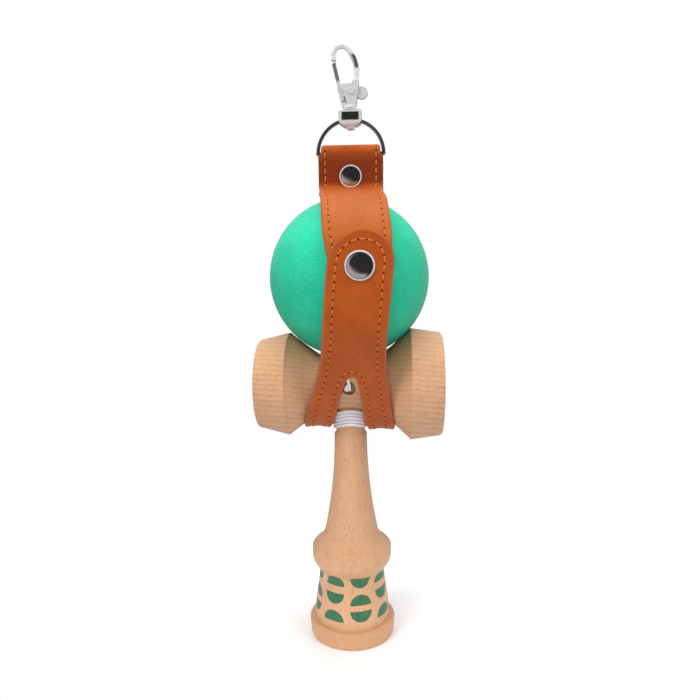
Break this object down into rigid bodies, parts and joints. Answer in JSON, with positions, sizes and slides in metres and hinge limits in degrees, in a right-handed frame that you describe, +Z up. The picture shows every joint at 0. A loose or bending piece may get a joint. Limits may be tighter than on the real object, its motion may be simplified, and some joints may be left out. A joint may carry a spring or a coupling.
{
  "type": "kendama in leather holster",
  "caption": "Wooden cup-and-ball toy standing on its base cup, ball on the spike, held in a snap-closed leather strap holster with a D-ring and swivel trigger hook.",
  "frame": {"origin": "middle of the base cup's rim, on the floor", "axes": "+Z up along the ken, -Y towards the front with the flap and its snap, +X towards the big cup"},
  "size_m": [0.07, 0.0733, 0.2267],
  "materials": {
    "beech": "natural, lightly waxed",
    "ball_paint": "satin paint",
    "string": "twisted",
    "leather_face": "smooth",
    "leather_lining": "matte",
    "nickel": "bright nickel plate"
  },
  "bodies": {
    "ken": {"ken": "beech", "sarado": "beech", "strap_face": "leather_face", "strap_lining": "leather_lining", "string_knot": "string", "string_lead": "string", "string_winding": "string", "string_run": "string"},
    "ball": {"tama": "ball_paint", "tama_bead": "beech", "string_tail": "string"},
    "flap": {"flap_face": "leather_face", "flap_lining": "leather_lining", "snap_cap": "nickel", "snap_socket": "nickel"},
    "lid": {"lid_face": "leather_face", "lid_lining": "leather_lining", "rivet_cap": "nickel", "rivet_post": "nickel"},
    "tab": {"tab_face": "leather_face", "tab_lining": "leather_lining", "snap_stud": "nickel", "snap_post": "nickel"},
    "ring": {"d_ring": "nickel"},
    "swivel": {"swivel_eye": "nickel"},
    "hook": {"hook_body": "nickel", "trigger_pin": "nickel", "trigger_spring": "nickel"},
    "trigger": {"trigger": "nickel"}
  },
  "joints": [
    {"name": "ball_lift", "type": "slide", "parent": "ken", "child": "ball", "axis": [0, 0, 1], "range_m": [0, 0.04], "deforming": ["string_run"]},
    {"name": "flap_fold", "type": "hinge", "parent": "ken", "child": "flap", "pos_m": [0, -0.01668, 0.09733], "axis": [1, 0, 0], "range_deg": [0, 150]},
    {"name": "lid_fold", "type": "hinge", "parent": "ken", "child": "lid", "pos_m": [0, 0.0346, 0.14207], "axis": [1, 0, 0], "range_deg": [-75, 0]},
    {"name": "tab_crease", "type": "hinge", "parent": "lid", "child": "tab", "pos_m": [0.001, -0.0023, 0.17459], "axis": [1, 0, 0], "range_deg": [-25, 0]},
    {"name": "ring_swing", "type": "hinge", "parent": "lid", "child": "ring", "pos_m": [0.001, 0, 0.18769], "axis": [1, 0, 0], "range_deg": [-80, 80]},
    {"name": "eye_swing", "type": "hinge", "parent": "ring", "child": "swivel", "pos_m": [0.001, 0, 0.19989], "axis": [1, 0, 0], "range_deg": [-40, 40]},
    {"name": "hook_swivel", "type": "hinge", "parent": "swivel", "child": "hook", "pos_m": [0.001, 0, 0.19989], "axis": [-0.0523, 0, 0.9986], "continuous": true},
    {"name": "trigger_pivot", "type": "hinge", "parent": "hook", "child": "trigger", "pos_m": [0.0015, 0, 0.20953], "axis": [0, 1, 0], "range_deg": [0, 22], "stiffness_Nm_per_rad": 0.02, "springref_deg": -17.19, "deforming": ["trigger_spring"]}
  ],
  "couplings": [
    {"joint": "flap_fold", "follows": "ball_lift", "rad_per_m": 65.44},
    {"joint": "lid_fold", "follows": "ball_lift", "rad_per_m": -32.72},
    {"joint": "tab_crease", "follows": "ball_lift", "rad_per_m": -10.9}
  ]
}
